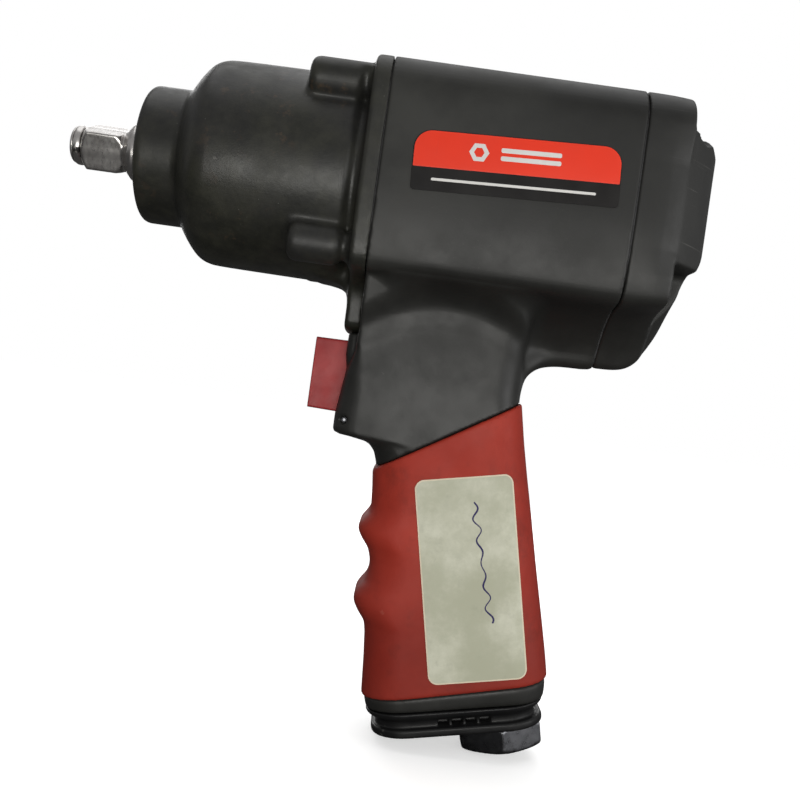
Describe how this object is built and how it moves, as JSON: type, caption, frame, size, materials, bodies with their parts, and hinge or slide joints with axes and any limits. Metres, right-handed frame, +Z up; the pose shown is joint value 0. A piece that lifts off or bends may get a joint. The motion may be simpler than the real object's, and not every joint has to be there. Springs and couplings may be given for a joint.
{
  "type": "pneumatic impact wrench",
  "caption": "Pistol-grip air impact wrench with a square drive anvil, painted hammer case, composite housing, rubber grip, push trigger and hex air inlet.",
  "frame": {"origin": "centre of the anvil's front end face, where a socket goes on", "axes": "-X points out of the drive end along the drive axis, +X to the rear cover, +Y across the tool away from the name plate, +Z up"},
  "size_m": [0.209, 0.0708, 0.2145],
  "materials": {
    "case_paint": "satin",
    "shell_plastic": "satin",
    "black_plastic": "matte",
    "grip_rubber": "matte",
    "trigger_plastic": "satin",
    "plate_print": "gloss",
    "label_paper": "matte",
    "bright_steel": "polished",
    "dark_nickel": "satin",
    "bronze": "satin",
    "cast_alloy": "satin",
    "seal_rubber": "matte",
    "vane_resin": "matte",
    "gasket_paper": "matte",
    "felt": "matte"
  },
  "bodies": {
    "body": {"hammer_case": "case_paint", "nose_bushing": "bronze", "case_gasket": "gasket_paper", "front_end_plate": "cast_alloy", "front_bearing": "bright_steel", "cylinder": "cast_alloy", "cylinder_pin": "bright_steel", "rear_end_plate": "cast_alloy", "rear_bearing": "bright_steel", "rear_gasket": "gasket_paper", "motor_housing": "shell_plastic", "rear_cover": "shell_plastic", "case_bolt_1": "bright_steel", "case_bolt_2": "bright_steel", "case_bolt_3": "bright_steel", "case_bolt_4": "bright_steel", "name_plate": "plate_print", "grip": "grip_rubber", "grip_sticker": "label_paper", "throttle_bushing": "bronze", "throttle_spring": "bright_steel", "inlet_bushing": "dark_nickel", "inlet_o_ring": "seal_rubber", "inlet_screen": "dark_nickel", "exhaust_silencer": "felt", "exhaust_deflector": "black_plastic"},
    "anvil": {"anvil": "bright_steel", "retainer_ring": "bright_steel", "retainer_o_ring": "seal_rubber"},
    "rotor": {"rotor": "bright_steel", "vane_1": "vane_resin", "vane_2": "vane_resin", "vane_3": "vane_resin", "vane_4": "vane_resin", "vane_5": "vane_resin", "vane_6": "vane_resin", "hammer_cage": "bright_steel", "hammer_pin_upper": "bright_steel", "hammer_pin_lower": "bright_steel"},
    "front_hammer": {"hammer_front": "bright_steel"},
    "rear_hammer": {"hammer_rear": "bright_steel"},
    "trigger": {"trigger": "trigger_plastic", "throttle_pin": "bright_steel"},
    "throttle_valve": {"throttle_valve": "seal_rubber"},
    "reverse": {"reverse_knob": "black_plastic", "reverse_valve": "bronze"}
  },
  "joints": [
    {"name": "anvil_spin", "type": "hinge", "parent": "body", "child": "anvil", "pos_m": [0.05, 0, 0], "axis": [-1, 0, 0], "continuous": true},
    {"name": "rotor_spin", "type": "hinge", "parent": "body", "child": "rotor", "pos_m": [0.137, 0, 0], "axis": [-1, 0, 0], "continuous": true},
    {"name": "front_hammer_rock", "type": "hinge", "parent": "rotor", "child": "front_hammer", "pos_m": [0.0652, 0, 0.0216], "axis": [1, 0, 0], "range_deg": [-3, 3]},
    {"name": "rear_hammer_rock", "type": "hinge", "parent": "rotor", "child": "rear_hammer", "pos_m": [0.0827, 0, -0.0216], "axis": [1, 0, 0], "range_deg": [-3, 3]},
    {"name": "trigger_slide", "type": "slide", "parent": "body", "child": "trigger", "axis": [1, 0, 0], "range_m": [0, 0.0055], "stiffness_N_per_m": 2500, "springref_m": -0.002, "deforming": ["throttle_spring"]},
    {"name": "throttle_valve_slide", "type": "slide", "parent": "body", "child": "throttle_valve", "axis": [1, 0, 0], "range_m": [0, 0.0055]},
    {"name": "reverse_knob_turn", "type": "hinge", "parent": "body", "child": "reverse", "pos_m": [0.205, 0, 0.0026], "axis": [1, 0, 0], "range_deg": [-40, 40]}
  ],
  "couplings": [
    {"joint": "throttle_valve_slide", "follows": "trigger_slide", "ratio": 1}
  ]
}
